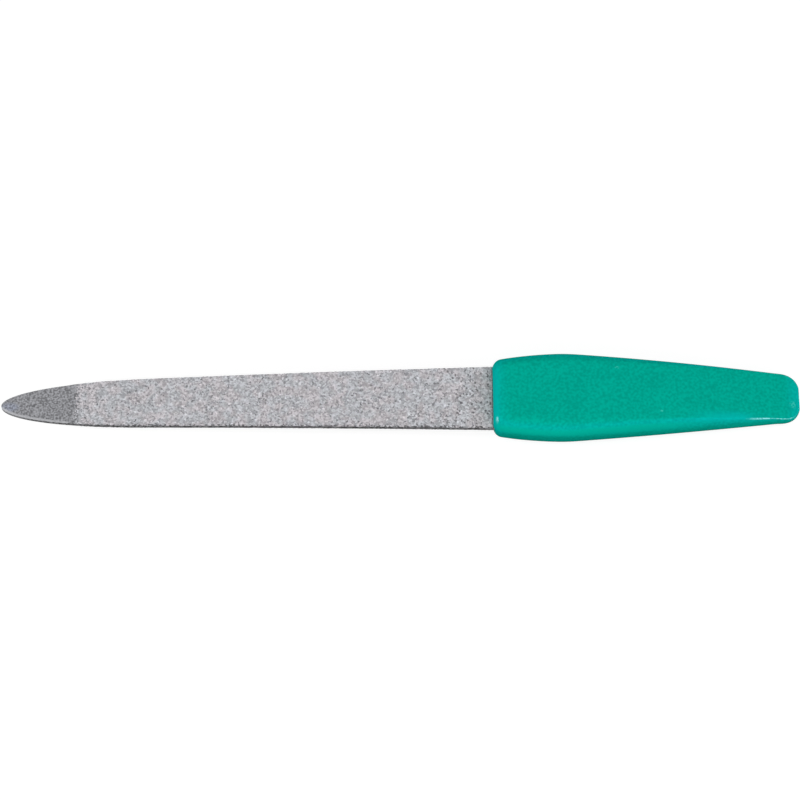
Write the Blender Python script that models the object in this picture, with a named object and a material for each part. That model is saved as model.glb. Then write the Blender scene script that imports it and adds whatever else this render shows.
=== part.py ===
"""A metal nail file: a bowed steel blade, its two grit coats, and the handle moulded round its tang.

Units are metres and +Z is up. The file lies on the plane z = 0 along X, with its tip at -X and its
handle at +X. The origin is midway between its two ends. The handle's flat underside and the very
tip of the blade touch that plane.
"""

import math

import bmesh
import bpy
from mathutils import Vector
from mathutils.geometry import interpolate_bezier

# Blade in plan: a rounded nose, then a straight taper that widens to the handle
BLADE_REACH = 0.09235  # from the tip to the front of the handle
MOUTH_WIDTH = 0.01264  # where the blade enters the handle
NOSE_LENGTH = 0.0268  # from the tip to the start of the straight taper
NOSE_WIDTH = 0.00961  # at the start of the straight taper
TIP_PULL = 0.0021  # how far the nose curve sets off squarely from the tip
NOSE_PULL = 0.0182  # how far it follows the straight taper before it turns in
NOSE_STEPS = 22
TAPER_STEPS = 16

# Blade in section
STEEL_THICKNESS = 0.0009
TIP_CHAMFER = 0.00025  # along the upper edge of the bare tip

# Grit coats, one on each face
BARE_TIP = 0.0141  # uncoated steel at the tip
BARE_COLLAR = 0.0004  # uncoated steel in front of the handle
COARSE_THICKNESS = 0.00012
FINE_THICKNESS = 0.00008
BOND_GAP = 0.000005  # between a coat and the steel it is bonded to

# Tang: the part of the blade inside the handle
TANG_WIDTH = 0.0076
SHOULDER_DEPTH = 0.003  # how far the full width of the blade goes into the handle
TANG_CORNER = 0.0014
KEY_RADIUS = 0.0016  # of the holes that the plastic fills
KEY_EDGE_DISTANCE = 0.006  # from the end of the tang, and from its shoulder, to a hole's centre
KEY_SIDES = 32

# Handle in plan
HANDLE_LENGTH = 0.05765
MOUTH_WALL = 0.00059  # of plastic beside the blade at the front
BULGE_OUT = 0.00134  # how far the bulge stands out past the front
BULGE_PLACE = 0.0141  # from the front to the widest place
TAIL_WIDTH = 0.00986  # where the rounded end begins
TAIL_CAP = 0.0045  # length of the rounded end
TAIL_TRIM = 0.0002  # how far short of its point the rounded end is cut off square
TAPER_EASE_SHARE = 0.21  # how much more steeply the sides close in at the tail than at the bulge
FRONT_CORNER = 0.00165
FRONT_BROW = 0.0015  # rounding of the upper front edge
FRONT_CHIN = 0.0010  # rounding of the lower front edge
TAIL_BROW = 0.0060  # length over which the upper face rolls down to the tail
TAIL_CHIN = 0.0008  # the same under the tail

# Handle in section
HANDLE_FLOOR = 0.0019  # of plastic under the tang
HANDLE_ROOF = 0.0030  # of plastic over it
TAIL_HEIGHT = 0.00225  # of the upper face where it meets the rounding of the tail
FALL_POWER = 1.9  # 1 would let the upper face fall evenly, and more makes it fall mostly at the tail
WAIST_HEIGHT = 0.0034  # of the widest line round the handle, at the bulge
TAIL_WAIST_HEIGHT = 0.00142  # the same at the tail
SHOULDER_RUN = 0.0032  # how far in from the side the upper face starts to fall, at the bulge
TAIL_SHOULDER_RUN = 0.0004  # the same at the tail
UNDER_RUN = 0.00093  # rounding of the sides into the underside
TAIL_SOLID = 0.0150  # of plastic behind the tang
SHOULDER_POINTS = 9
UNDER_POINTS = 5
FRONT_STEPS = 6
BODY_STEPS = 22
CAP_STEPS = 11
CAP_POWER = 2.7  # 2 would round the end like an ellipse, and more makes it squarer

# Fits
TANG_CLEARANCE = 0.0003  # round the tang and its key holes
CUT_OVERRUN = 0.001  # how far a cutter runs past the face it opens

# Edges
SHARP_ANGLE = math.radians(35)  # above this an edge is drawn sharp
RIM_ANGLE = math.radians(45)  # above this an edge of the blade is part of its rim

# Colours, as linear light
STEEL_GREY = (0.27, 0.275, 0.29)
COARSE_GREY = (0.44, 0.435, 0.45)
FINE_GREY = (0.34, 0.335, 0.35)
HANDLE_TEAL = (0.003, 0.356, 0.267)

# Places that follow from the sizes above
overall_length = BLADE_REACH + HANDLE_LENGTH
mouth_x = BLADE_REACH - overall_length / 2
tang_seat = HANDLE_FLOOR + TANG_CLEARANCE
slot_top = tang_seat + STEEL_THICKNESS + TANG_CLEARANCE
handle_height = slot_top + HANDLE_ROOF
front_half_width = MOUTH_WIDTH / 2 + TANG_CLEARANCE + MOUTH_WALL
bulge_half_width = front_half_width + BULGE_OUT
tang_length = HANDLE_LENGTH - TAIL_SOLID - TANG_CLEARANCE
cap_start = HANDLE_LENGTH - TAIL_CAP


def clear_scene():
    """Removes the objects that the file opens with."""
    for thing in list(bpy.data.objects):
        bpy.data.objects.remove(thing, do_unlink=True)


def material(name, colour, metallic, roughness):
    """A Principled material of one colour."""
    made = bpy.data.materials.new(name)
    made.use_nodes = True
    shader = made.node_tree.nodes["Principled BSDF"]
    shader.inputs["Base Color"].default_value = (*colour, 1)
    shader.inputs["Metallic"].default_value = metallic
    shader.inputs["Roughness"].default_value = roughness
    made.diffuse_color = (*colour, 1)
    return made


def add_object(name, mesh_builder, place, parent, finish=None):
    """Turns a bmesh into a named object with its normals pointing out."""
    bmesh.ops.recalc_face_normals(mesh_builder, faces=mesh_builder.faces[:])
    mesh = bpy.data.meshes.new(name)
    mesh_builder.to_mesh(mesh)
    mesh_builder.free()
    made = bpy.data.objects.new(name, mesh)
    bpy.context.collection.objects.link(made)
    made.parent = parent
    made.location = place
    if finish:
        mesh.materials.append(finish)
    return made


def as_cutter(thing):
    """Marks an object as a tool that only shapes others."""
    thing.hide_render = True
    thing.display_type = "WIRE"
    return thing


def cut(thing, cutter):
    """Takes the cutter's shape out of an object."""
    boolean = thing.modifiers.new("Cut by " + cutter.name, "BOOLEAN")
    boolean.operation = "DIFFERENCE"
    boolean.solver = "EXACT"
    boolean.object = cutter


def shade_round(thing):
    """Shades a piece smooth, apart from its real edges."""
    thing.data.shade_smooth()
    thing.data.set_sharp_from_angle(angle=SHARP_ANGLE)


def blade_drop_at(x):
    """How far the bowed blade lies below its tang, at x from the front of the handle."""
    ahead_share = max(-x, 0) / BLADE_REACH
    return tang_seat * ahead_share**2


def nose_outline():
    """The rounded nose as (x, half width), from the tip to the straight taper."""
    taper_slope = (MOUTH_WIDTH - NOSE_WIDTH) / 2 / (BLADE_REACH - NOSE_LENGTH)
    tip = Vector((-BLADE_REACH, 0))
    nose_end = Vector((NOSE_LENGTH - BLADE_REACH, NOSE_WIDTH / 2))
    points = interpolate_bezier(
        tip,
        tip + Vector((0, TIP_PULL)),
        nose_end - Vector((NOSE_PULL, NOSE_PULL * taper_slope)),
        nose_end,
        NOSE_STEPS + 1,
    )
    return [(point.x, point.y) for point in points]


def blade_outline():
    """The half outline of the blade in front of the handle, from the tip to the mouth."""
    outline = nose_outline()
    for step in range(1, TAPER_STEPS + 1):
        share = step / TAPER_STEPS
        x = (NOSE_LENGTH - BLADE_REACH) * (1 - share)
        half = (NOSE_WIDTH * (1 - share) + MOUTH_WIDTH * share) / 2
        outline.append((x, half))
    return outline


def half_width_at(outline, x):
    """The outline's half width at x, on the straight line between its neighbours."""
    for (x0, half0), (x1, half1) in zip(outline, outline[1:]):
        if x0 <= x <= x1:
            return half0 + (half1 - half0) * (x - x0) / (x1 - x0)
    raise ValueError("x lies outside the outline")


def outline_between(outline, start, stop):
    """The stretch of an outline from start to stop, with a point at each."""
    inner = [point for point in outline if start < point[0] < stop]
    first = (start, half_width_at(outline, start))
    last = (stop, half_width_at(outline, stop))
    return [first, *inner, last]


def tang_outline(extra=0):
    """The half outline of the tang, or of the slot for it, which is larger by extra all round."""
    half_mouth = MOUTH_WIDTH / 2 + extra
    half_tang = TANG_WIDTH / 2 + extra
    end = tang_length + extra
    return [
        (SHOULDER_DEPTH + extra, half_mouth),
        (SHOULDER_DEPTH + extra + half_mouth - half_tang, half_tang),
        (end - TANG_CORNER, half_tang),
        (end, half_tang - TANG_CORNER),
    ]


def plate(outline, thickness, bowed=True):
    """A plate of even thickness over a half outline, mirrored across y = 0 and bowed like the blade."""
    builder = bmesh.new()
    rows = []
    for x, half in outline:
        z = -blade_drop_at(x) if bowed else 0
        sides = (-half, half) if half else (0,)
        rows.append([builder.verts.new((x, y, z)) for y in sides])
    for row, next_row in zip(rows, rows[1:]):
        builder.faces.new(row + next_row[::-1])
    raised = bmesh.ops.extrude_face_region(builder, geom=builder.faces[:])
    upper = [item for item in raised["geom"] if isinstance(item, bmesh.types.BMVert)]
    bmesh.ops.translate(builder, verts=upper, vec=(0, 0, thickness))
    return builder


def chamfer_tip(builder):
    """Bevels the upper edge of the bare tip."""
    coat_start = BARE_TIP - BLADE_REACH
    middle = STEEL_THICKNESS / 2

    def on_rim(edge):
        if len(edge.link_faces) != 2:
            return False
        upper = all(v.co.z > middle - blade_drop_at(v.co.x) for v in edge.verts)
        bare = all(v.co.x < coat_start for v in edge.verts)
        return upper and bare and edge.calc_face_angle() > RIM_ANGLE

    builder.normal_update()
    rim = [edge for edge in builder.edges if on_rim(edge)]
    bmesh.ops.bevel(builder, geom=rim, offset=TIP_CHAMFER, segments=1, affect="EDGES")


def key_places():
    """Where along the tang the two key holes are."""
    narrow_start = SHOULDER_DEPTH + (MOUTH_WIDTH - TANG_WIDTH) / 2
    return (narrow_start + KEY_EDGE_DISTANCE, tang_length - KEY_EDGE_DISTANCE)


def key_pins(name, radius, height, parent):
    """The two upright cylinders at the key holes, as one cutter."""
    builder = bmesh.new()
    for x in key_places():
        pin = bmesh.ops.create_cone(
            builder, cap_ends=True, segments=KEY_SIDES, radius1=radius, radius2=radius, depth=height
        )
        bmesh.ops.translate(builder, verts=pin["verts"], vec=(x, 0, STEEL_THICKNESS / 2))
    return as_cutter(add_object(name, builder, (0, 0, 0), parent))


def make_blade(file_frame):
    """The steel strip, with its tang at the height of the slot in the handle."""
    outline = blade_outline()
    front = outline_between(outline, BARE_TIP - BLADE_REACH, -BARE_COLLAR)
    nose = [point for point in outline if point[0] < front[0][0]]
    builder = plate([*nose, *front, outline[-1], *tang_outline()], STEEL_THICKNESS)
    chamfer_tip(builder)
    steel = material("Blasted steel", STEEL_GREY, metallic=1, roughness=0.5)
    blade = add_object("blade", builder, (mouth_x, 0, tang_seat), file_frame, steel)
    height = STEEL_THICKNESS + 2 * CUT_OVERRUN
    cut(blade, key_pins("key_hole_cutter", KEY_RADIUS, height, blade))
    shade_round(blade)
    return blade


def make_coat(name, blade, thickness, base, finish):
    """A layer of grit over one face of the blade, between the bare tip and the bare collar."""
    outline = outline_between(blade_outline(), BARE_TIP - BLADE_REACH, -BARE_COLLAR)
    coat = add_object(name, plate(outline, thickness), (0, 0, base), blade, finish)
    shade_round(coat)
    return coat


def taper_share(distance):
    """0 up to the bulge, 1 at the start of the rounded end, closing in faster towards the tail."""
    share = (distance - BULGE_PLACE) / (cap_start - BULGE_PLACE)
    share = min(max(share, 0), 1)
    return share * (1 - TAPER_EASE_SHARE * (1 - share))


def handle_half_width(distance):
    """Half the handle's width at a distance behind its front, before its ends are rounded."""
    if distance < BULGE_PLACE:
        return bulge_half_width - BULGE_OUT * (1 - distance / BULGE_PLACE) ** 2
    return bulge_half_width + (TAIL_WIDTH / 2 - bulge_half_width) * taper_share(distance)


def fullness(from_end, run, power=2.0):
    """How full a rounded end is at a distance from it: 0 at its point, 1 where the rounding starts."""
    if from_end >= run:
        return 1
    return (1 - (1 - from_end / run) ** power) ** (1 / power)


def quarter_turn(steps, side_run, rise):
    """Points of a quarter ellipse from the waist: how far in from the side, and how far up or down."""
    angles = [math.pi / 2 * step / (steps - 1) for step in range(steps)]
    return [(side_run * (1 - math.cos(angle)), rise * math.sin(angle)) for angle in angles]


def handle_section(half, waist, top, bottom, shoulder_run, under_run):
    """A closed section as (y, z): broad upper face, soft shoulders, tighter turn to the underside."""
    shoulder = quarter_turn(SHOULDER_POINTS, shoulder_run, top - waist)[::-1]
    under = quarter_turn(UNDER_POINTS, under_run, bottom - waist)[1:]
    right = [(half - inward, waist + rise) for inward, rise in shoulder + under]
    left = [(-y, z) for y, z in reversed(right)]
    return [(0, top), *right, (0, bottom), *left]


def handle_stations():
    """Distances behind the front at which the handle has a section, closer together at its ends."""
    brow = [math.pi / 2 * step / FRONT_STEPS for step in range(FRONT_STEPS)]
    front = [FRONT_BROW * (1 - math.cos(angle)) for angle in brow]
    gap = (cap_start - FRONT_BROW) / BODY_STEPS
    body = [FRONT_BROW + gap * step for step in range(BODY_STEPS)]
    turn = [math.pi / 2 * step / CAP_STEPS for step in range(CAP_STEPS + 1)]
    cap = [cap_start + TAIL_CAP * math.sin(angle) for angle in turn]
    return front + body + cap


def handle_ring(distance):
    """The handle's section at a distance behind its front, as a list of points."""
    share = taper_share(distance)
    from_tail = HANDLE_LENGTH - distance + TAIL_TRIM

    def between(at_bulge, at_tail):
        return at_bulge + (at_tail - at_bulge) * share

    waist = between(WAIST_HEIGHT, TAIL_WAIST_HEIGHT)
    fall_share = max(distance - BULGE_PLACE, 0) / (HANDLE_LENGTH - BULGE_PLACE)
    height = handle_height + (TAIL_HEIGHT - handle_height) * fall_share**FALL_POWER
    plan = fullness(from_tail, TAIL_CAP, CAP_POWER)
    over = fullness(from_tail, TAIL_BROW)
    under = fullness(from_tail, TAIL_CHIN)
    half = handle_half_width(distance) * plan - FRONT_CORNER * (1 - fullness(distance, FRONT_CORNER))
    top = waist + (height - waist) * over - FRONT_BROW * (1 - fullness(distance, FRONT_BROW))
    bottom = waist * (1 - under) + FRONT_CHIN * (1 - fullness(distance, FRONT_CHIN))
    shoulder_run = between(SHOULDER_RUN, TAIL_SHOULDER_RUN) * plan
    section = handle_section(half, waist, top, bottom, shoulder_run, UNDER_RUN * plan)
    return [(distance, y, z) for y, z in section]


def handle_body():
    """The solid handle: its sections joined from front to tail, and closed at both ends."""
    builder = bmesh.new()
    rings = [[builder.verts.new(point) for point in handle_ring(x)] for x in handle_stations()]
    count = len(rings[0])
    for ring, next_ring in zip(rings, rings[1:]):
        for i in range(count):
            j = (i + 1) % count
            builder.faces.new((ring[i], ring[j], next_ring[j], next_ring[i]))
    builder.faces.new(rings[0])
    builder.faces.new(rings[-1])
    return builder


def make_slot_cutter(handle):
    """The room for the tang, less the two posts that stand in its key holes."""
    height = slot_top - HANDLE_FLOOR
    mouth = (-CUT_OVERRUN, MOUTH_WIDTH / 2 + TANG_CLEARANCE)
    builder = plate([mouth, *tang_outline(TANG_CLEARANCE)], height, bowed=False)
    slot = as_cutter(add_object("tang_slot_cutter", builder, (0, 0, HANDLE_FLOOR), handle))
    cut(slot, key_pins("key_post_guide", KEY_RADIUS - TANG_CLEARANCE, height + 2 * CUT_OVERRUN, slot))
    return slot


def make_handle(file_frame):
    """The moulding: open at its front for the tang, with a post through each key hole."""
    teal = material("Moulded teal plastic", HANDLE_TEAL, metallic=0, roughness=0.42)
    handle = add_object("handle", handle_body(), (mouth_x, 0, 0), file_frame, teal)
    shade_round(handle)
    cut(handle, make_slot_cutter(handle))
    return handle


def build_file():
    """Makes every piece under one empty at the origin."""
    clear_scene()
    file_frame = bpy.data.objects.new("nail_file", None)
    bpy.context.collection.objects.link(file_frame)
    blade = make_blade(file_frame)
    coarse = material("Coarse grit", COARSE_GREY, metallic=0, roughness=0.8)
    fine = material("Fine grit", FINE_GREY, metallic=0, roughness=0.75)
    make_coat("coarse_coat", blade, COARSE_THICKNESS, STEEL_THICKNESS + BOND_GAP, coarse)
    make_coat("fine_coat", blade, FINE_THICKNESS, -BOND_GAP - FINE_THICKNESS, fine)
    make_handle(file_frame)


build_file()
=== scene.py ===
"""A metal nail file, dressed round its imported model: blade, a grit coat on each face, handle.

The script is laid out as an add-on. Each operator makes one piece or the stage, and main()
calls them all. Lengths are metres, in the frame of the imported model: tip at -X, handle at +X,
+Z up, and z = 0 is the table.
"""

import math
from collections import namedtuple

import bmesh
import bpy
from bpy.props import FloatProperty, FloatVectorProperty, PointerProperty
from mathutils import Matrix, Vector
from mathutils.geometry import interpolate_bezier


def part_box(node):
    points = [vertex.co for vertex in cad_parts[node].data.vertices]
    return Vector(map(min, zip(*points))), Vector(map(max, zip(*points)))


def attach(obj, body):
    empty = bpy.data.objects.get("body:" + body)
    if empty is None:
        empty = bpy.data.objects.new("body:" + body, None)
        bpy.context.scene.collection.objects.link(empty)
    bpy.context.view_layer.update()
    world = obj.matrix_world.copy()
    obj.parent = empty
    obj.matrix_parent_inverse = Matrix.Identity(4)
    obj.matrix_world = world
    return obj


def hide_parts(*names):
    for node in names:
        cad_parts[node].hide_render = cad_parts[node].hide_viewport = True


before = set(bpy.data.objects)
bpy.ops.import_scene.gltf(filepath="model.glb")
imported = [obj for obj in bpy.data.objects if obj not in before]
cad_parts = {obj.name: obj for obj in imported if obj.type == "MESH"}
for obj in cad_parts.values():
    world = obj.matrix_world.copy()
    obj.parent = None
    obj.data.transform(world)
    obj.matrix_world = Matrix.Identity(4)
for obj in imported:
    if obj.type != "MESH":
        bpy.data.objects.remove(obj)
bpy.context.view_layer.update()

bl_info = {
    "name": "Nail File",
    "version": (1, 0, 0),
    "blender": (4, 5, 0),
    "location": "View3D > Sidebar > Nail File",
    "description": "Adds a metal nail file with a grit coat on each face and a moulded handle",
    "category": "Add Mesh",
}

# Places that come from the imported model
blade_low, blade_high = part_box("blade")
coat_low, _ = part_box("coarse_coat")
handle_low, handle_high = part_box("handle")
TIP_X = blade_low.x
MOUTH_X = handle_low.x
TAIL_X = handle_high.x
COAT_START_X = coat_low.x
COAT_END_X = MOUTH_X - 0.00005


# Settings that a user may change


def number(name, default, about, **limits):
    """A number, with its limits or its unit."""
    return FloatProperty(name=name, default=default, description=about, **limits)


def length(name, default, about):
    """A length in metres."""
    return number(name, default, about, unit="LENGTH", precision=5)


def colour(name, default, about):
    """A colour, as linear light."""
    return FloatVectorProperty(
        name=name, default=default, description=about, subtype="COLOR", min=0, max=1
    )


class BladeSizes(bpy.types.PropertyGroup):
    """Sizes and colours of the steel strip."""

    mouth_width: length("Mouth width", 2 * blade_high.y, "Width where the blade enters the handle")
    nose_length: length("Nose length", 0.0268, "From the tip to the start of the straight taper")
    nose_width: length("Nose width", 0.00961, "Width at the start of the straight taper")
    tip_pull: length("Tip roundness", 0.0021, "How far the nose sets off squarely from the tip")
    nose_pull: length("Nose fullness", 0.0182, "How far the nose follows the taper")
    thickness: length("Thickness", 0.0009, "Thickness of the steel")
    tang_seat: length("Tang seat", 0.0022, "Height of the tang, from which the blade bows down")
    tip_bevel: length("Tip bevel", 0.00034, "Width of the shallow bevel round the bare tip")
    tip_drop: length("Tip bevel drop", 0.00013, "How far that bevel falls to the rim")
    steel: colour("Steel", (0.247, 0.249, 0.263), "Blasted steel of the bare tip")
    # Painted highlight: a pale steel colour on the near bevel of the tip, where the light falls
    # bright
    bevel_highlight: colour("Bevel highlight", (0.37, 0.373, 0.389), "Bright bevel on the near edge of the tip")
    # Painted shade: the sheared sides are coloured dark for the shade that falls on them
    side_shade: colour("Side shade", (0.086, 0.086, 0.09), "Sheared side of the strip")


class CoatSizes(bpy.types.PropertyGroup):
    """Sizes and colours of the two layers of grit."""

    fringe: length("Fringe", 0.0026, "Length over which the grains thin out towards the bare tip")
    coarse_grain: length("Coarse grain", 0.00034, "Size of a grain on the upper face")
    coarse_height: length("Coarse height", 0.00012, "Height of the grit on the upper face")
    fine_grain: length("Fine grain", 0.00026, "Size of a grain on the under face")
    fine_height: length("Fine height", 0.00008, "Height of the grit on the under face")
    coarse: colour("Coarse grit", (0.452, 0.448, 0.467), "Middle colour of the coarse grit")
    fine: colour("Fine grit", (0.35, 0.348, 0.368), "Middle colour of the fine grit")


class HandleSizes(bpy.types.PropertyGroup):
    """Sizes and colours of the moulding."""

    front_width: length("Front width", 0.01442, "Width just behind the rounded front")
    bulge_place: length("Bulge place", 0.0141, "From the front to the widest place")
    bulge_width: length("Bulge width", 2 * handle_high.y, "Width at the widest place")
    tail_width: length("Tail width", 0.00986, "Width where the rounded end begins")
    tail_height: length("Tail height", 0.00225, "Height of the upper face at the tail")
    height: length("Height", handle_high.z, "Height of the upper face at the bulge")
    shoulder: length("Shoulder", 0.0032, "Rounding of the upper face into the sides at the bulge")
    tail_shoulder: length("Tail shoulder", 0.0004, "The same rounding at the tail")
    teal: colour("Teal", (0.0006, 0.365, 0.272), "Moulded plastic")
    # Painted light: a paler teal where the moulding rounds over and at its ends, where light falls
    # brighter
    rounding_light: colour("Rounding light", (0.0008, 0.412, 0.352), "Paler plastic where the moulding rounds over")
    # Painted shade: a darker teal where the sides turn under, away from the light
    underside_shade: colour("Underside shade", (0.0005, 0.282, 0.228), "Darker plastic where the sides turn under")
    # Painted sheen: this cyan stands for light on the front and near the tail, not a tint of the
    # plastic
    gleam: colour("Gleam", (0.0008, 0.45, 0.415), "Cyan tint at the front and near the tail")
    speck: colour("Speck", (0.06, 0.60, 0.50), "Pale specks on the upper face")
    # Painted highlight: a pale cyan that stands for the light on the near shoulder of the tail and
    # near the front
    highlit: colour("Highlight", (0.30, 0.85, 0.90), "Plastic worn pale and smooth on the near shoulder")


class StageSettings(bpy.types.PropertyGroup):
    """The floor, the light and the camera."""

    floor_grey: number("Floor grey", 0.16, "How pale the floor is to the file", min=0, max=1)
    sky: number("Sky", 0.49, "Strength of the light from overhead", min=0)
    lamp: number("Lamps", 1.0, "Strength of the lamps", min=0)
    focal: number("Focal length", 144.03, "Of the camera, in millimetres", unit="CAMERA")
    distance: length("Camera distance", 0.6, "From the camera to the middle of the file")
    tilt: number("Tilt", math.radians(25), "Of the camera from straight down", unit="ROTATION")
    roll: number("Roll", math.radians(0.4), "Of the camera about its axis", unit="ROTATION")


# Modelling by hand, in code


def start_piece(name, add, **settings):
    """Adds a primitive as a new piece, with its place in its mesh, and opens it in edit mode."""
    bpy.ops.object.select_all(action="DESELECT")
    add(**settings)
    piece = bpy.context.active_object
    piece.name = piece.data.name = name
    bpy.ops.object.transform_apply(location=True, rotation=True, scale=True)
    bpy.ops.object.mode_set(mode="EDIT")
    return piece


def pick(piece, kind, wanted):
    """Selects the points, edges or faces of a piece in edit mode that pass a test."""
    bpy.ops.mesh.select_mode(type=kind)
    bpy.ops.mesh.select_all(action="DESELECT")
    mesh = bmesh.from_edit_mesh(piece.data)
    mesh.verts.index_update()
    for part in {"VERT": mesh.verts, "EDGE": mesh.edges, "FACE": mesh.faces}[kind]:
        if wanted(part):
            part.select_set(True)
    mesh.select_flush_mode()
    bmesh.update_edit_mesh(piece.data)


def picked_points(piece):
    """The numbers and places of the selected points."""
    mesh = bmesh.from_edit_mesh(piece.data)
    mesh.verts.index_update()
    return {point.index: point.co.copy() for point in mesh.verts if point.select}


def face_outwards(piece):
    """Turns every face of a closed piece in edit mode to the outside."""
    bpy.ops.mesh.select_all(action="SELECT")
    bpy.ops.mesh.normals_make_consistent(inside=False)
    if bmesh.from_edit_mesh(piece.data).calc_volume(signed=True) < 0:
        bpy.ops.mesh.flip_normals()


def apply_modifier(piece, kind, **settings):
    """Adds a modifier with these settings and applies it."""
    made = piece.modifiers.new(kind.title(), kind)
    for name, value in settings.items():
        setattr(made, name, value)
    bpy.ops.object.modifier_apply(modifier=made.name)


def finish_piece(piece, node, sharp_angle=math.radians(40)):
    """Shades a piece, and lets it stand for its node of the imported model."""
    bpy.ops.object.shade_smooth_by_angle(angle=sharp_angle)
    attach(piece, "root")
    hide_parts(node)


# Materials


class Value:
    """What a node gives out. Sums, differences and products of numbers add Math nodes."""

    def __init__(self, nodes, socket):
        self.nodes = nodes
        self.socket = socket

    def combined(self, operation, first, second):
        """A Math node on two numbers."""
        return self.nodes.add("ShaderNodeMath", {"operation": operation}, {0: first, 1: second})

    def __add__(self, other):
        return self.combined("ADD", self, other)

    def __sub__(self, other):
        return self.combined("SUBTRACT", self, other)

    def __rsub__(self, other):
        return self.combined("SUBTRACT", other, self)

    def __mul__(self, other):
        return self.combined("MULTIPLY", self, other)

    __radd__ = __add__
    __rmul__ = __mul__

    def rising(self, start, stop):
        """0 up to the start, then smoothly to 1 at the stop."""
        settings = {"interpolation_type": "SMOOTHSTEP"}
        sockets = {"Value": self, "From Min": start, "From Max": stop}
        return self.nodes.add("ShaderNodeMapRange", settings, sockets, "Result")

    def falling(self, start, stop):
        """1 up to the start, then smoothly to 0 at the stop."""
        return 1 - self.rising(start, stop)


class Nodes:
    """The nodes of a material or of the world."""

    def __init__(self, tree):
        self.tree = tree

    def connect(self, socket, value):
        """Links a value to a socket, or writes it there."""
        if isinstance(value, Value):
            self.tree.links.new(value.socket, socket)
        else:
            socket.default_value = value

    def add(self, kind, settings=None, sockets=None, output=0):
        """Adds a node: its settings come first, then the values or links of its sockets."""
        node = self.tree.nodes.new(kind)
        for name, value in (settings or {}).items():
            setattr(node, name, value)
        for name, value in (sockets or {}).items():
            self.connect(node.inputs[name], value)
        return Value(self, node.outputs[output])

    def along(self, vector, axis):
        """One of X, Y and Z of a vector as a number."""
        return self.add("ShaderNodeSeparateXYZ", {}, {0: vector}, axis)

    def seen(self):
        """1 for a ray that shows a surface, also one mirrored by metal or let through by glass."""
        straight = self.add("ShaderNodeLightPath", output="Is Camera Ray")
        mirrored = self.add("ShaderNodeLightPath", output="Is Glossy Ray")
        through = self.add("ShaderNodeLightPath", output="Is Transmission Ray")
        return straight + mirrored + through


class Finish(Nodes):
    """A material in the making, with its Principled shader."""

    def __init__(self, name, roughness, metallic=0.0, specular=0.5):
        self.material = bpy.data.materials.new(name)
        self.material.use_nodes = True
        super().__init__(self.material.node_tree)
        self.shader = self.tree.nodes["Principled BSDF"]
        self.feed("Roughness", roughness)
        self.feed("Metallic", metallic)
        self.feed("Specular IOR Level", specular)
        self.place = self.add("ShaderNodeTexCoord", output="Object")
        self.facing = self.add("ShaderNodeNewGeometry", output="Normal")

    def feed(self, socket_name, value):
        """Gives a value to a socket of the shader."""
        self.connect(self.shader.inputs[socket_name], value)

    def noise(self, size, detail=2.0):
        """Cloudy noise, 0 to 1, with blobs about as large as the size."""
        sockets = {"Vector": self.place, "Scale": 1 / size, "Detail": detail}
        return self.add("ShaderNodeTexNoise", {}, sockets)

    def cells(self, size, output):
        """Grains of about the size: the Distance from a grain's middle, or its own Color."""
        sockets = {"Vector": self.place, "Scale": 1 / size}
        return self.add("ShaderNodeTexVoronoi", {}, sockets, output)

    def channel(self, colours, which):
        """One channel of a colour as a number: 0, 1 or 2."""
        return self.add("ShaderNodeSeparateColor", {}, {"Color": colours}, which)

    def mix(self, share, first, second, blend="MIX"):
        """A colour between two. A Mix node's colours are sockets 6 and 7, and its output 2."""
        first, second = (c if isinstance(c, Value) else (*c, 1) for c in (first, second))
        settings = {"data_type": "RGBA", "blend_type": blend}
        return self.add("ShaderNodeMix", settings, {0: share, 6: first, 7: second}, 2)

    def shades(self, share, base, dark, light):
        """A colour from dark times the base, at a share of 0, to light times it, at 1."""
        return self.mix(share, shaded(base, dark), shaded(base, light))

    def tinted(self, colours, share, first, second):
        """Colours times a tint between two others."""
        return self.mix(1.0, colours, self.mix(share, first, second), "MULTIPLY")

    def spot(self, centre, radii):
        """1 at the centre of an oval spot, and 0 outside it."""
        sockets = {
            "Vector": self.place,
            "Location": [-c / r for c, r in zip(centre, radii)],
            "Scale": [1 / r for r in radii],
        }
        moved = self.add("ShaderNodeMapping", {}, sockets)
        away = self.add("ShaderNodeVectorMath", {"operation": "LENGTH"}, {0: moved}, "Value")
        return away.falling(0.4, 1.0)

    def bump(self, height, distance):
        """Raises the surface by the height, 0 to 1, times the distance."""
        sockets = {"Height": height, "Distance": distance}
        self.feed("Normal", self.add("ShaderNodeBump", {}, sockets))


def shaded(base, factor):
    """A colour made lighter or darker."""
    return tuple(min(channel * factor, 1) for channel in base)


# The cool point of the steel, and where its painted highlight on the near bevel fades at the coat
PLAIN = (1.0, 1.0, 1.0)
COOL_TINT = (0.99, 1.04, 1.16)
COOL_SPOT = ((TIP_X + 0.0016, -0.0004, 0), (0.0024, 0.0013, 0.01))
BEVEL_HIGHLIGHT_FADE = (COAT_START_X - 0.0012, COAT_START_X - 0.0002)


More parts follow.
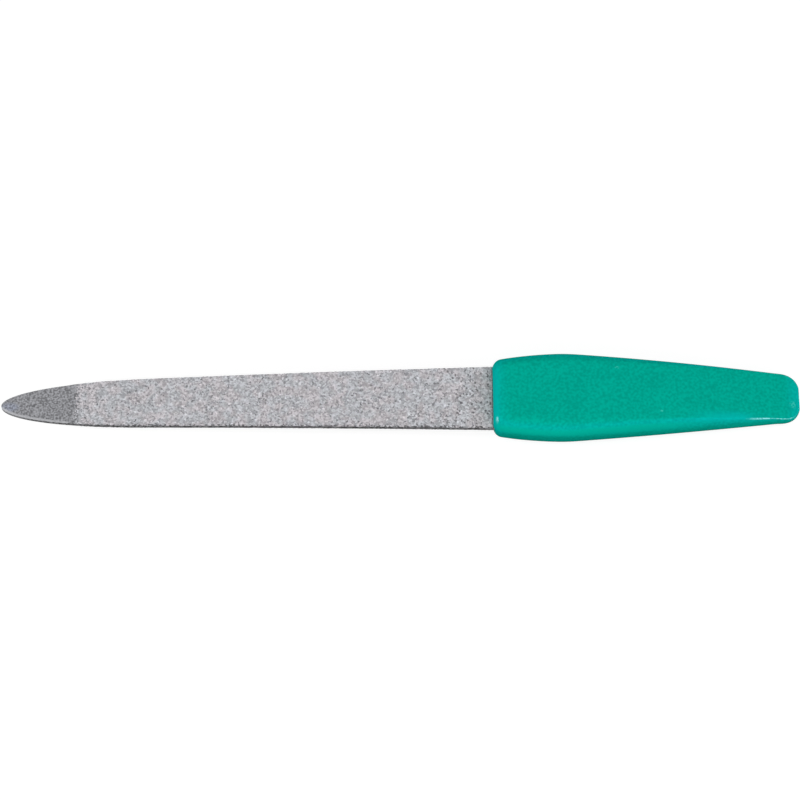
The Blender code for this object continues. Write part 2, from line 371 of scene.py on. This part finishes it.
def steel_finish(sizes):
    """Fine blasted steel: a tight matt speckle, faint clouds, a cool point, a painted highlight on
    the near bevel.
    """
    made = Finish("Blasted steel", roughness=0.6, metallic=0.75)
    speckle = made.noise(size=0.00034, detail=0.0)
    tone = speckle * 0.88 + made.noise(size=0.004) * 0.12
    tones = made.shades(tone.rising(0.2, 0.8), sizes.steel, 0.51, 1.49)
    tones = made.tinted(tones, made.spot(*COOL_SPOT), PLAIN, COOL_TINT)
    level, near = made.along(made.facing, "Z"), 0 - made.along(made.facing, "Y")
    # Painted highlight: the bevel faces turned to the near side take the pale colour
    bevel = level.falling(0.98, 0.996) * near.rising(0.03, 0.15)
    bare = made.along(made.place, "X").falling(*BEVEL_HIGHLIGHT_FADE)
    patchy = 0.6 + made.noise(size=0.0006).rising(0.35, 0.65) * 0.4
    made.feed("Base Color", made.mix(bevel * bare * patchy, tones, sizes.bevel_highlight))
    made.feed("Roughness", 0.54 + speckle * 0.14)
    made.bump(speckle, distance=0.00002)
    return made.material


# The black of a nick, and where the torn side begins behind the point
NICK_BLACK = (0.005, 0.005, 0.005)
TEAR_START = (TIP_X + 0.001, TIP_X + 0.008)


def shaded_side_finish(sizes):
    """The sheared side of the strip: dark with painted shade, torn along its length and nicked, but
    for its point.
    """
    made = Finish("Shaded sheared edge", roughness=0.6, metallic=0.7)
    tears = made.noise(size=0.0004, detail=2.0)
    # Painted shade: the dark colour of the side stands for its shade; the tears and nicks are its
    # own
    tones = made.shades(tears.rising(0.35, 0.65), sizes.side_shade, 0.3, 2.6)
    nicks = made.noise(size=0.0006, detail=1.0).rising(0.52, 0.6)
    torn = made.along(made.place, "X").rising(*TEAR_START)
    tones = made.mix(torn, shaded(sizes.steel, 0.7), tones)
    made.feed("Base Color", made.mix(nicks * torn * 0.75, tones, NICK_BLACK))
    made.bump(tears, distance=0.0001)
    return made.material


# Where the grit grows darker towards the handle, with a painted shadow just before it, its brim in
# from the side, and its tints
NEAR_HANDLE = (MOUTH_X - 0.02, MOUTH_X)
SHADOW_AT_HANDLE = (MOUTH_X - 0.0010, MOUTH_X - 0.0001)
BRIM_OUTER, BRIM_INNER = 0.0001, 0.0005
GRIT_COOL, GRIT_WARM = (0.975, 1.0, 1.015), (1.03, 0.99, 0.995)


def grit_finish(name, base, grain, blade):
    """Bonded mineral grit: every grain its own grey, some of them black and some bright.

    More grains are black towards the handle and along the near brim of the coat.
    """
    made = Finish(name, roughness=0.7, specular=0.4)
    own = made.cells(grain, "Color")
    chance = made.channel(own, 1)
    fine = made.noise(size=grain * 0.6, detail=1.0)
    tone = made.channel(own, 0) * 0.55 + fine * 0.45
    body = made.shades(tone.rising(0.2, 0.8), base, 0.72, 1.32)

    x, y = made.along(made.place, "X"), made.along(made.place, "Y")
    by_handle = x.rising(*NEAR_HANDLE)
    taper = (blade.mouth_width - blade.nose_width) / 2 / (MOUTH_X - TIP_X - blade.nose_length)
    from_middle = 0 - y - (x - MOUTH_X) * taper
    half = blade.mouth_width / 2
    brim = from_middle.rising(half - BRIM_INNER, half - BRIM_OUTER)

    pits = (chance + by_handle * 0.03 + brim * 0.4).rising(0.93, 0.95)
    depth = 0.45 + by_handle * 0.45 + brim * 0.45
    body = made.mix(pits * depth, body, shaded(base, 0.2))
    sparks = chance.falling(0.035, 0.055)
    body = made.mix(sparks * 0.45, body, shaded(base, 1.9))
    drift = made.noise(size=0.0022, detail=1.0).rising(0.38, 0.62)
    body = made.tinted(body, drift, GRIT_COOL, GRIT_WARM)
    # Painted shadow: the last millimetre of grit before the handle is darkened where the handle
    # shades it
    handle_shadow = x.rising(*SHADOW_AT_HANDLE)
    made.feed("Base Color", made.mix(handle_shadow * 0.15, body, shaded(base, 0.3)))
    made.feed("Roughness", 0.75 - sparks * 0.4)
    made.bump(fine - made.cells(grain, "Distance") * 0.5, distance=grain * 0.12)
    return made.material


# Where the handle's painted light and sheen change along its length, and its marks: centre and
# radii of each
FRONT_LIGHT = (MOUTH_X, MOUTH_X + 0.0038)
TAIL_LIGHT = (TAIL_X - 0.0030, TAIL_X - 0.0006)
FRONT_GLEAM = (MOUTH_X + 0.0002, MOUTH_X + 0.0016)
SLOPE_LIGHT_FADE = (0.045, 0.062)
BROW_GLEAM = (0.046, 0.062)
TOP_SHEEN_START, TOP_SHEEN_FADE = (0.051, 0.063), (0.0635, 0.0670)
TOP_SHEEN_ACROSS = (0.0031, 0.0049)
SPECKS = (
    ((0.0407, 0.0046, 0.0062), (0.0006, 0.0003, 0.0008), 0.7),
    ((0.0487, -0.0042, 0.0057), (0.0004, 0.0003, 0.0008), 0.5),
    ((0.0736, -0.0015, 0.0020), (0.0008, 0.0009, 0.0012), 0.5),
)
TAIL_HIGHLIGHT = ((0.0697, -0.0043, 0.0026), (0.0062, 0.0026, 0.0034))
FRONT_HIGHLIGHT = ((0.01805, -0.0058, 0.0054), (0.00035, 0.0008, 0.0014))
MOTTLE_DARK, MOTTLE_LIGHT = (0.87, 0.87, 0.87), (1.13, 1.13, 1.13)


def plastic_finish(sizes):
    """Satin moulded plastic: faint mottle and orange peel, and painted light where it rounds over.

    Its marks are three pale specks, and a painted highlight, with a little coat gloss, as a line
    on the near shoulder of the tail and a spot near the front. The value level is 1 on the upper
    face and 0 on the side walls.
    """
    made = Finish("Moulded teal plastic", roughness=0.4, specular=0.0)
    made.feed("Coat Roughness", 0.25)
    level, near = made.along(made.facing, "Z"), 0 - made.along(made.facing, "Y")
    x, near_side = made.along(made.place, "X"), 0 - made.along(made.place, "Y")
    mottle = made.noise(size=0.0005, detail=0.0)

    # Painted light: the rounding-over faces and the front and tail ends take a paler teal
    ends = x.falling(*FRONT_LIGHT) + x.rising(*TAIL_LIGHT)
    rounding_light = level.falling(0.74, 0.96) * level.rising(0.0, 0.45) + ends * 0.85
    body = made.mix(rounding_light, sizes.teal, sizes.rounding_light)
    tone = mottle * 0.8 + made.noise(size=0.006) * 0.2
    body = made.tinted(body, tone.rising(0.2, 0.8), MOTTLE_DARK, MOTTLE_LIGHT)
    # Painted light: a lighter copy of the teal on the sloping side, fading out towards the tail
    slope_light = level.falling(0.5, 0.75) * level.rising(0.05, 0.3) * x.falling(*SLOPE_LIGHT_FADE)
    body = made.mix(slope_light * 0.9, body, shaded(sizes.teal, 1.22))
    # Painted shade: faces that turn downwards take the darker teal
    body = made.mix(level.falling(-0.45, 0.1), body, sizes.underside_shade)

    # Painted sheen: cyan on the tail's brow, at the front, and in a band along the near side of the
    # upper face
    gleam = level.falling(0.88, 0.98) * level.rising(0.4, 0.7) * x.rising(*BROW_GLEAM)
    gleam = gleam + x.falling(*FRONT_GLEAM) * level.rising(-0.2, 0.3)
    top_sheen = near_side.rising(*TOP_SHEEN_ACROSS) * level.rising(0.9, 0.97)
    gleam = gleam + top_sheen * x.rising(*TOP_SHEEN_START) * (1 - x.rising(*TOP_SHEEN_FADE) * 0.8)
    body = made.mix(gleam * 0.8, body, sizes.gleam)

    flecks = made.noise(size=0.0004, detail=1.0).rising(0.35, 0.6)
    for centre, radii, strength in SPECKS:
        body = made.mix(made.spot(centre, radii) * flecks * strength, body, sizes.speck)
    # Painted highlight: a pale line on the near shoulder of the tail and a spot near the front,
    # broken by noise; the same mask gives a little real coat gloss
    highlit = made.spot(*TAIL_HIGHLIGHT) + made.spot(*FRONT_HIGHLIGHT) * 0.7
    shoulder = level.falling(0.75, 0.88) * level.rising(0.4, 0.62) * near.rising(0.1, 0.25)
    highlight_breaks = 0.3 + made.noise(size=0.00045, detail=1.0).rising(0.44, 0.56) * 0.7
    highlit = highlit * shoulder * highlight_breaks
    made.feed("Coat Weight", highlit * 0.4)
    made.feed("Base Color", made.mix(highlit, body, sizes.highlit))
    made.feed("Roughness", 0.36 + mottle * 0.1)
    peel = made.noise(size=0.00018, detail=1.0)
    made.bump(mottle * 0.7 + peel * 0.3, distance=0.000012)
    return made.material


# Blade

NOSE_STEPS = 36
TAPER_STEPS = 24

# The tang, which the handle hides
TANG_WIDTH = 0.0076
TANG_LENGTH = 0.04235
TANG_CORNER = 0.0014
TANG_SLACK = 0.00002
SHOULDER_DEPTH = 0.003

# The sharpest turn inside the bare tip's face, and the strip that holds its bevel's inner edge
RIM_TURN = math.radians(50)
HOLDING_EDGE = 0.00008

# How much a sheared side may look up or down, as a share of 1
SIDE_SLOPE_SHARE = 0.2

# Points closer than this count as one place
TINY = 0.000001


def blade_outline(sizes):
    """The half outline of the blade as (x, half width), from the tip to the mouth."""
    mouth = Vector((MOUTH_X, sizes.mouth_width / 2))
    nose_end = Vector((TIP_X + sizes.nose_length, sizes.nose_width / 2))
    along = (mouth - nose_end).normalized()
    tip = Vector((TIP_X, 0))
    pulled = (tip + Vector((0, sizes.tip_pull)), nose_end - sizes.nose_pull * along)
    nose = interpolate_bezier(tip, *pulled, nose_end, NOSE_STEPS)
    taper = [nose_end.lerp(mouth, step / TAPER_STEPS) for step in range(1, TAPER_STEPS + 1)]
    return [(point.x, point.y) for point in [*nose, *taper]]


def half_width_at(outline, x):
    """The half width of an outline at x."""
    for (x0, half0), (x1, half1) in zip(outline, outline[1:]):
        if x0 <= x <= x1:
            return half0 + (half1 - half0) * (x - x0) / (x1 - x0)
    return outline[-1][1]


def under_height(sizes, x):
    """Height of the steel's under face at x: level in the handle, then bowed down to the tip."""
    ahead_share = max(MOUTH_X - x, 0) / (MOUTH_X - TIP_X)
    return sizes.tang_seat * (1 - ahead_share**2)


def tang_outline(sizes, slack=0.0):
    """The half outline of the tang from the mouth to its end, grown all round by the slack."""
    half_mouth = sizes.mouth_width / 2 + slack
    half = TANG_WIDTH / 2 + slack
    neck = MOUTH_X + SHOULDER_DEPTH + slack
    end = MOUTH_X + TANG_LENGTH + slack
    return [
        (neck, half_mouth),
        (neck + half_mouth - half, half),
        (end - TANG_CORNER, half),
        (end, half - TANG_CORNER),
    ]


def draw_strip(name, stations):
    """Draws a flat strip by extruding an edge from station to station: (x, half width, height)."""
    x, half, height = stations[0]
    piece = start_piece(name, bpy.ops.mesh.primitive_plane_add, size=1, location=(x, 0, height))
    pick(piece, "VERT", lambda point: point.co.x > x)
    bpy.ops.mesh.delete(type="VERT")
    bpy.ops.mesh.select_all(action="SELECT")
    bpy.ops.transform.resize(value=(0, 2 * half, 1), center_override=(x, 0, height))
    for (x, half, height), (next_x, next_half, next_height) in zip(stations, stations[1:]):
        step = (next_x - x, 0, next_height - height)
        bpy.ops.mesh.extrude_edges_move(TRANSFORM_OT_translate={"value": step})
        centre = (next_x, 0, next_height)
        bpy.ops.transform.resize(value=(1, next_half / half, 1), center_override=centre)
    return piece


class NAILFILE_OT_blade(bpy.types.Operator):
    """Adds the bowed steel strip with its tang and its bevelled bare tip"""

    bl_idname = "nailfile.blade"
    bl_label = "Steel Blade"
    bl_options = {"REGISTER", "UNDO"}

    def execute(self, context):
        sizes = context.scene.nail_file_blade
        outline = [*blade_outline(sizes), *tang_outline(sizes)]
        stations = [(x, half, under_height(sizes, x)) for x, half in reversed(outline)]
        piece = draw_strip("steel_blade", stations)
        bpy.ops.mesh.merge(type="COLLAPSE")
        bpy.ops.mesh.select_all(action="SELECT")
        bpy.ops.mesh.extrude_region_move(TRANSFORM_OT_translate={"value": (0, 0, sizes.thickness)})
        face_outwards(piece)
        self.bevel_tip(piece, sizes)
        piece.data.materials.append(steel_finish(sizes))
        piece.data.materials.append(shaded_side_finish(sizes))
        self.darken_sides(piece)
        bpy.ops.object.mode_set(mode="OBJECT")
        finish_piece(piece, "blade")
        return {"FINISHED"}

    def bevel_tip(self, piece, sizes):
        """Makes the bare tip's upper face one face, and grinds a shallow bevel round its rim."""
        bare_end = max(x for x, _ in blade_outline(sizes) if x < COAT_START_X - sizes.tip_bevel)

        def over_middle(point):
            return point.co.z > under_height(sizes, point.co.x) + sizes.thickness / 2

        def bare_upper(edge):
            return all(over_middle(point) and point.co.x < bare_end - TINY for point in edge.verts)

        def wide_face(face):
            return face.normal.z > 0 and len(face.verts) > 4

        pick(piece, "EDGE", lambda edge: bare_upper(edge) and edge.calc_face_angle(0) < RIM_TURN)
        bpy.ops.mesh.dissolve_edges(use_verts=False)
        pick(piece, "FACE", wide_face)
        bpy.ops.mesh.inset(thickness=sizes.tip_bevel, use_boundary=True)
        inner = set(picked_points(piece))

        def on_rim(point):
            return point.co.x < bare_end - TINY and over_middle(point) and point.index not in inner

        pick(piece, "VERT", on_rim)
        bpy.ops.transform.translate(value=(0, 0, -sizes.tip_drop))
        pick(piece, "FACE", wide_face)
        bpy.ops.mesh.inset(thickness=HOLDING_EDGE, use_boundary=True)

    def darken_sides(self, piece):
        """Gives the sheared sides their own finish, dark with painted shade."""
        pick(piece, "FACE", lambda face: abs(face.normal.z) < SIDE_SLOPE_SHARE)
        piece.active_material_index = 1
        bpy.ops.object.material_slot_assign()


# Grit coats

COAT_COLUMNS = 98
COAT_ROWS = 15
CELL_CUTS = 7
COAT_SINK = 0.00006
FRINGE_TILT = math.radians(0.25)

# Shares of a coat's height: how far its fringe dips, and how far the grains move its face
FRINGE_SINK_SHARE = 1.4
GRAIN_MOVE_SHARE = 1.6

# The level of the grains' pattern, 0 to 1, at which the face stays in place
GRAIN_LEVEL = 0.3

# The side of the blade that a coat is on
UPPER, UNDER = 1, -1


class Grit(namedtuple("Grit", "name node slot side grain height")):
    """One coat, on the upper or the under side of the blade."""

    def face_height(self, blade, x):
        """Height at x of the face of the steel that the coat is on."""
        return under_height(blade, x) + (blade.thickness if self.side == UPPER else 0)


def lay_sheet(blade, grit, columns):
    """A sheet as wide as the blade at each column, sunk a little into the steel."""
    half_long = (columns[-1] - columns[0]) / 2
    middle = (columns[0] + half_long, 0, 0)
    piece = start_piece(
        grit.name,
        bpy.ops.mesh.primitive_grid_add,
        x_subdivisions=COAT_COLUMNS,
        y_subdivisions=COAT_ROWS,
        size=2,
        location=middle,
    )
    bpy.ops.transform.resize(value=(half_long, 1, 1), center_override=middle)
    outline = blade_outline(blade)
    for x in columns:
        pick(piece, "VERT", lambda point: abs(point.co.x - x) < TINY)
        value = (1, half_width_at(outline, x), 1)
        bpy.ops.transform.resize(value=value, center_override=(x, 0, 0))
        base = grit.face_height(blade, x) - grit.side * COAT_SINK
        bpy.ops.transform.translate(value=(0, 0, base))
    return piece


def thin_fringe(piece, blade, grit, columns, fringe, outer):
    """Lets the outer points dip into the steel over the fringe, with a slight twist."""
    for x in columns:
        sunk_share = (columns[0] + fringe - x) / fringe
        if sunk_share <= 0:
            break
        pick(piece, "VERT", lambda point: point.index in outer and abs(point.co.x - x) < TINY)
        sink = sunk_share * grit.height * FRINGE_SINK_SHARE
        bpy.ops.transform.translate(value=(0, 0, -grit.side * sink))
        centre = (x, 0, grit.face_height(blade, x))
        bpy.ops.transform.rotate(
            value=sunk_share * FRINGE_TILT, orient_axis="X", center_override=centre
        )


def roughen(piece, grit):
    """Cuts the outer face fine and moves its points, each grain a cell."""
    pick(piece, "FACE", lambda face: face.normal.z * grit.side > 0.5)
    bpy.ops.mesh.subdivide(number_cuts=CELL_CUTS)
    group = piece.vertex_groups.new(name="grains")
    bpy.ops.object.vertex_group_assign()
    bpy.ops.object.mode_set(mode="OBJECT")
    grains = bpy.data.textures.new(grit.name, "VORONOI")
    grains.noise_scale = grit.grain
    grains.distance_metric = "DISTANCE_SQUARED"
    apply_modifier(
        piece,
        "DISPLACE",
        texture=grains,
        texture_coords="LOCAL",
        vertex_group=group.name,
        strength=-grit.height * GRAIN_MOVE_SHARE,
        mid_level=GRAIN_LEVEL,
    )


def add_coat(blade, coats, grit, finish):
    """A sheet over one face of the blade, raised off it and roughened into grains."""
    start = COAT_START_X - coats.fringe / 2
    long = COAT_END_X - start
    columns = [start + long * step / COAT_COLUMNS for step in range(COAT_COLUMNS + 1)]
    piece = lay_sheet(blade, grit, columns)
    bpy.ops.mesh.select_all(action="SELECT")
    rise = grit.side * (COAT_SINK + grit.height / 2)
    bpy.ops.mesh.extrude_region_move(TRANSFORM_OT_translate={"value": (0, 0, rise)})
    outer = set(picked_points(piece))
    thin_fringe(piece, blade, grit, columns, coats.fringe, outer)
    face_outwards(piece)
    roughen(piece, grit)
    piece.data.materials.append(finish)
    finish_piece(piece, grit.node, sharp_angle=math.pi)


class NAILFILE_OT_coarse_coat(bpy.types.Operator):
    """Adds the coarse grit over the upper face, thinning out towards the bare tip"""

    bl_idname = "nailfile.coarse_coat"
    bl_label = "Coarse Grit Coat"
    bl_options = {"REGISTER", "UNDO"}

    def execute(self, context):
        blade, coats = context.scene.nail_file_blade, context.scene.nail_file_coats
        grain, height = coats.coarse_grain, coats.coarse_height
        grit = Grit("coarse_grit", "coarse_coat", "coarse_grit", UPPER, grain, height)
        add_coat(blade, coats, grit, grit_finish("Coarse grit", coats.coarse, grain, blade))
        return {"FINISHED"}


class NAILFILE_OT_fine_coat(bpy.types.Operator):
    """Adds the fine grit under the blade"""

    bl_idname = "nailfile.fine_coat"
    bl_label = "Fine Grit Coat"
    bl_options = {"REGISTER", "UNDO"}

    def execute(self, context):
        blade, coats = context.scene.nail_file_blade, context.scene.nail_file_coats
        grain, height = coats.fine_grain, coats.fine_height
        grit = Grit("fine_grit", "fine_coat", "fine_grit", UNDER, grain, height)
        add_coat(blade, coats, grit, grit_finish("Fine grit", coats.fine, grain, blade))
        return {"FINISHED"}


# Handle

RING_POINTS = 38
RING_RADIUS = 0.001
FRONT_STEPS = 7
BODY_STEPS = 26
CAP_STEPS = 14
HANDLE_LEVELS = 2

# Roundings of the front, in plan and at its upper and lower edge
FRONT_CORNER = 0.00165
FRONT_BROW = 0.0015
FRONT_CHIN = 0.0010

# The same of the tail, and the little that the last ring stays clear of a point
TAIL_CAP = 0.0045
TAIL_BROW = 0.0060
TAIL_CHIN = 0.0008
TAIL_TRIM = 0.0002

# How square the tail is in plan, how late the top falls to it, and how the taper eases in
CAP_POWER = 2.7
FALL_POWER = 1.9
EASE_SHARE = 0.21

# Height of the widest line at the bulge and at the tail, and the rounding under it
WAIST = 0.0034
TAIL_WAIST = 0.00142
UNDER_RUN = 0.00093

# The room for the tang
MOUTH_DEPTH = 0.0003
SLOT_CORNER = 0.0002

Section = namedtuple("Section", "x half waist top bottom over_run under_run")


def fullness(from_end, run, power=2.0):
    """How full a rounded end is: 0 at its point, 1 where the rounding starts."""
    if from_end >= run:
        return 1
    return (1 - (1 - from_end / run) ** power) ** (1 / power)


def lost_at_front(back, run):
    """How much a rounding of the front takes off at a distance back from it."""
    return run * (1 - fullness(back, run))


def handle_section(sizes, back):
    """The handle's section at a distance back from its front."""
    handle_length = TAIL_X - MOUTH_X
    from_tail = handle_length - back + TAIL_TRIM
    taper = (back - sizes.bulge_place) / (handle_length - TAIL_CAP - sizes.bulge_place)
    taper = min(max(taper, 0), 1)
    taper *= 1 - EASE_SHARE * (1 - taper)

    def between(at_bulge, at_tail):
        return at_bulge + (at_tail - at_bulge) * taper

    half = between(sizes.bulge_width, sizes.tail_width) / 2
    if back < sizes.bulge_place:
        half -= (sizes.bulge_width - sizes.front_width) / 2 * (1 - back / sizes.bulge_place) ** 2
    waist = between(WAIST, TAIL_WAIST)
    fall = max(back - sizes.bulge_place, 0) / (handle_length - sizes.bulge_place)
    top = sizes.height + (sizes.tail_height - sizes.height) * fall**FALL_POWER
    plan = fullness(from_tail, TAIL_CAP, CAP_POWER)
    top = waist + (top - waist) * fullness(from_tail, TAIL_BROW)
    bottom = waist * (1 - fullness(from_tail, TAIL_CHIN))
    return Section(
        x=MOUTH_X + back,
        half=half * plan - lost_at_front(back, FRONT_CORNER),
        waist=waist,
        top=top - lost_at_front(back, FRONT_BROW),
        bottom=bottom + lost_at_front(back, FRONT_CHIN),
        over_run=between(sizes.shoulder, sizes.tail_shoulder) * plan,
        under_run=UNDER_RUN * plan,
    )


def handle_stations():
    """Distances back from the front at which the handle has a ring, closer at its ends."""
    cap_start = TAIL_X - MOUTH_X - TAIL_CAP
    body = cap_start - FRONT_BROW
    quarter = math.pi / 2
    front_turns = [quarter * step / FRONT_STEPS for step in range(FRONT_STEPS)]
    cap_turns = [quarter * step / CAP_STEPS for step in range(CAP_STEPS + 1)]
    return [
        *(FRONT_BROW * (1 - math.cos(turn)) for turn in front_turns),
        *(FRONT_BROW + body * step / BODY_STEPS for step in range(BODY_STEPS)),
        *(cap_start + TAIL_CAP * math.sin(turn) for turn in cap_turns),
    ]


def slot_sections(blade):
    """Sections of the room for the tang, from its end to the mouth."""
    middle = blade.tang_seat + blade.thickness / 2
    rise = blade.thickness / 2 + TANG_SLACK
    mouth = (MOUTH_X + MOUTH_DEPTH, blade.mouth_width / 2 + TANG_SLACK)
    outline = [mouth, *tang_outline(blade, TANG_SLACK)]
    return [
        Section(x, half, middle, middle + rise, middle - rise, SLOT_CORNER, SLOT_CORNER)
        for x, half in reversed(outline)
    ]


class NAILFILE_OT_handle(bpy.types.Operator):
    """Adds the handle moulded round the tang"""

    bl_idname = "nailfile.handle"
    bl_label = "Moulded Handle"
    bl_options = {"REGISTER", "UNDO"}

    def execute(self, context):
        sizes = context.scene.nail_file_handle
        slot = slot_sections(context.scene.nail_file_blade)
        outside = [handle_section(sizes, back) for back in handle_stations()]
        piece = start_piece("moulded_handle", bpy.ops.mesh.primitive_circle_add)
        bpy.ops.mesh.select_all(action="SELECT")
        bpy.ops.mesh.delete(type="VERT")
        rings = [self.add_ring(piece, section) for section in slot + outside]
        for ring in (rings[0], rings[-1]):
            pick(piece, "VERT", lambda point: point.index in ring)
            bpy.ops.mesh.edge_face_add()
        for ring, next_ring in zip(rings, rings[1:]):
            pick(piece, "VERT", lambda point: point.index in ring or point.index in next_ring)
            bpy.ops.mesh.bridge_edge_loops()
        inner = set().union(*rings[: len(slot)])
        pick(piece, "VERT", lambda point: point.index in inner)
        bpy.ops.transform.edge_crease(value=1)
        face_outwards(piece)
        bpy.ops.object.mode_set(mode="OBJECT")
        apply_modifier(piece, "SUBSURF", levels=HANDLE_LEVELS, render_levels=HANDLE_LEVELS)
        piece.data.materials.append(plastic_finish(sizes))
        finish_piece(piece, "handle")
        return {"FINISHED"}

    def add_ring(self, piece, section):
        """Adds a circle and shapes it into a section, one quarter at a time."""
        centre = (section.x, 0, section.waist)
        bpy.ops.mesh.primitive_circle_add(
            vertices=RING_POINTS,
            radius=RING_RADIUS,
            location=centre,
            rotation=(0, math.pi / 2, 0),
        )
        ring = picked_points(piece)
        for side in (-1, 1):
            for up in (-1, 1):
                quarter = {
                    index
                    for index, place in ring.items()
                    if place.y * side > 0 and (place.z - section.waist + TINY) * up > 0
                }
                run, rise = section.over_run, section.top - section.waist
                if up < 0:
                    run, rise = section.under_run, section.waist - section.bottom
                pick(piece, "VERT", lambda point: point.index in quarter)
                value = (1, run / RING_RADIUS, rise / RING_RADIUS)
                bpy.ops.transform.resize(value=value, center_override=centre)
                bpy.ops.transform.translate(value=(0, side * (section.half - run), 0))
        return set(ring)


# Stage

FLOOR_SIZE = 30
FLOOR_DROP = 0.00003
SHADOWED_WHITE = (0.22, 0.22, 0.22, 1)
FLOOR_GLOW = 0.85

# The sky's light low down, as a share of that overhead, and the heights between which it falls
HORIZON_SHARE = 1.1
SKY_TURN = (0.1, 0.8)

# Place, size and power of each lamp
LAMPS = {
    "near lamp": ((0.12, -0.57, 0.42), (0.9, 0.16), 2.6),
    "left lamp": ((-0.6, 0.0, 0.4), (0.3, 0.3), 1.5),
    "right lamp": ((0.6, 0.1, 0.4), (0.3, 0.3), 0.9),
}

# What the camera looks at, its small shift down the picture, and its sensor in millimetres
AIM = Vector((-0.000002, 0, 0.003))
CAMERA_SHIFT = -0.000324
SENSOR_WIDTH = 36
CLIP_START, CLIP_END = 0.01, 100


class NAILFILE_OT_stage(bpy.types.Operator):
    """Adds the pale floor, the soft studio light and the camera"""

    bl_idname = "nailfile.stage"
    bl_label = "Stage"
    bl_options = {"REGISTER", "UNDO"}

    def execute(self, context):
        stage = context.scene.nail_file_stage
        self.add_floor(stage)
        self.light_sky(context.scene, stage)
        for name, (place, size, power) in LAMPS.items():
            self.add_lamp(name, Vector(place), size, power * stage.lamp)
        self.add_camera(context.scene, stage)
        context.scene.view_settings.view_transform = "Standard"
        return {"FINISHED"}

    def add_floor(self, stage):
        """A plain floor: white with the file's shadow to the camera, greyer to the file itself."""
        bpy.ops.object.select_all(action="DESELECT")
        bpy.ops.mesh.primitive_plane_add(size=FLOOR_SIZE, location=(0, 0, -FLOOR_DROP))
        floor = bpy.context.active_object
        floor.name = "floor"
        made = Finish("Pale floor", roughness=1.0, specular=0.0)
        made.feed("Base Color", (stage.floor_grey, stage.floor_grey, stage.floor_grey, 1))
        to_file = Value(made, made.shader.outputs["BSDF"])
        white = made.add("ShaderNodeBsdfDiffuse", {}, {"Color": SHADOWED_WHITE})
        glow = made.add("ShaderNodeEmission", {}, {"Strength": FLOOR_GLOW})
        to_eye = made.add("ShaderNodeAddShader", {}, {0: white, 1: glow})
        both = made.add("ShaderNodeMixShader", {}, {0: made.seen(), 1: to_file, 2: to_eye})
        made.connect(made.tree.nodes["Material Output"].inputs["Surface"], both)
        floor.data.materials.append(made.material)

    def light_sky(self, scene, stage):
        """Soft light all round, a little weaker overhead, and plain white where it is seen."""
        scene.world = scene.world or bpy.data.worlds.new("Studio")
        scene.world.use_nodes = True
        made = Nodes(scene.world.node_tree)
        made.tree.nodes.clear()
        height = made.along(made.add("ShaderNodeTexCoord", output="Generated"), "Z")
        share = HORIZON_SHARE - height.rising(*SKY_TURN) * (HORIZON_SHARE - 1)
        sockets = {"Color": (1, 1, 1, 1), "Strength": share * stage.sky}
        light = made.add("ShaderNodeBackground", {}, sockets)
        white = made.add("ShaderNodeBackground", {}, {"Color": (1, 1, 1, 1)})
        both = made.add("ShaderNodeMixShader", {}, {0: made.seen(), 1: light, 2: white})
        out = made.tree.nodes.new("ShaderNodeOutputWorld")
        made.connect(out.inputs["Surface"], both)

    def add_lamp(self, name, place, size, power):
        """A flat soft lamp that points at the file."""
        bpy.ops.object.light_add(type="AREA", location=place)
        lamp = bpy.context.active_object
        lamp.name = name
        lamp.rotation_euler = (-place).to_track_quat("-Z", "Y").to_euler()
        lamp.data.shape = "RECTANGLE"
        lamp.data.size, lamp.data.size_y = size
        lamp.data.energy = power

    def add_camera(self, scene, stage):
        """The camera, tilted from straight down, on the near side of the file."""
        tilt = Matrix.Rotation(stage.tilt, 4, "X")
        offset = tilt @ Vector((0, CAMERA_SHIFT, stage.distance))
        turn = tilt @ Matrix.Rotation(-stage.roll, 4, "Z")
        bpy.ops.object.camera_add()
        camera = bpy.context.active_object
        camera.name = "camera"
        camera.matrix_world = Matrix.Translation(AIM + offset) @ turn
        camera.data.lens = stage.focal
        camera.data.sensor_width = SENSOR_WIDTH
        camera.data.clip_start = CLIP_START
        camera.data.clip_end = CLIP_END
        scene.camera = camera


# The add-on


class NAILFILE_PT_panel(bpy.types.Panel):
    """Lists the pieces of the nail file and their sizes"""

    bl_idname = "NAILFILE_PT_panel"
    bl_label = "Nail File"
    bl_space_type = "VIEW_3D"
    bl_region_type = "UI"
    bl_category = "Nail File"

    def draw(self, context):
        for operator in OPERATORS:
            self.layout.operator(operator.bl_idname)
        for name in SETTINGS:
            box = self.layout.box()
            group = getattr(context.scene, name)
            for prop in group.bl_rna.properties:
                if prop.identifier not in {"rna_type", "name"}:
                    box.prop(group, prop.identifier)


OPERATORS = (
    NAILFILE_OT_stage,
    NAILFILE_OT_blade,
    NAILFILE_OT_coarse_coat,
    NAILFILE_OT_fine_coat,
    NAILFILE_OT_handle,
)
SETTINGS = {
    "nail_file_blade": BladeSizes,
    "nail_file_coats": CoatSizes,
    "nail_file_handle": HandleSizes,
    "nail_file_stage": StageSettings,
}


def register():
    """Registers the settings, the operators and the panel."""
    for name, group in SETTINGS.items():
        bpy.utils.register_class(group)
        setattr(bpy.types.Scene, name, PointerProperty(type=group))
    for each in (*OPERATORS, NAILFILE_PT_panel):
        bpy.utils.register_class(each)


def unregister():
    """Removes what register added."""
    for each in (NAILFILE_PT_panel, *reversed(OPERATORS)):
        bpy.utils.unregister_class(each)
    for name, group in SETTINGS.items():
        delattr(bpy.types.Scene, name)
        bpy.utils.unregister_class(group)


def main():
    """Makes the whole nail file."""
    register()
    bpy.ops.nailfile.stage()
    bpy.ops.nailfile.blade()
    bpy.ops.nailfile.coarse_coat()
    bpy.ops.nailfile.fine_coat()
    bpy.ops.nailfile.handle()


if __name__ == "__main__":
    main()
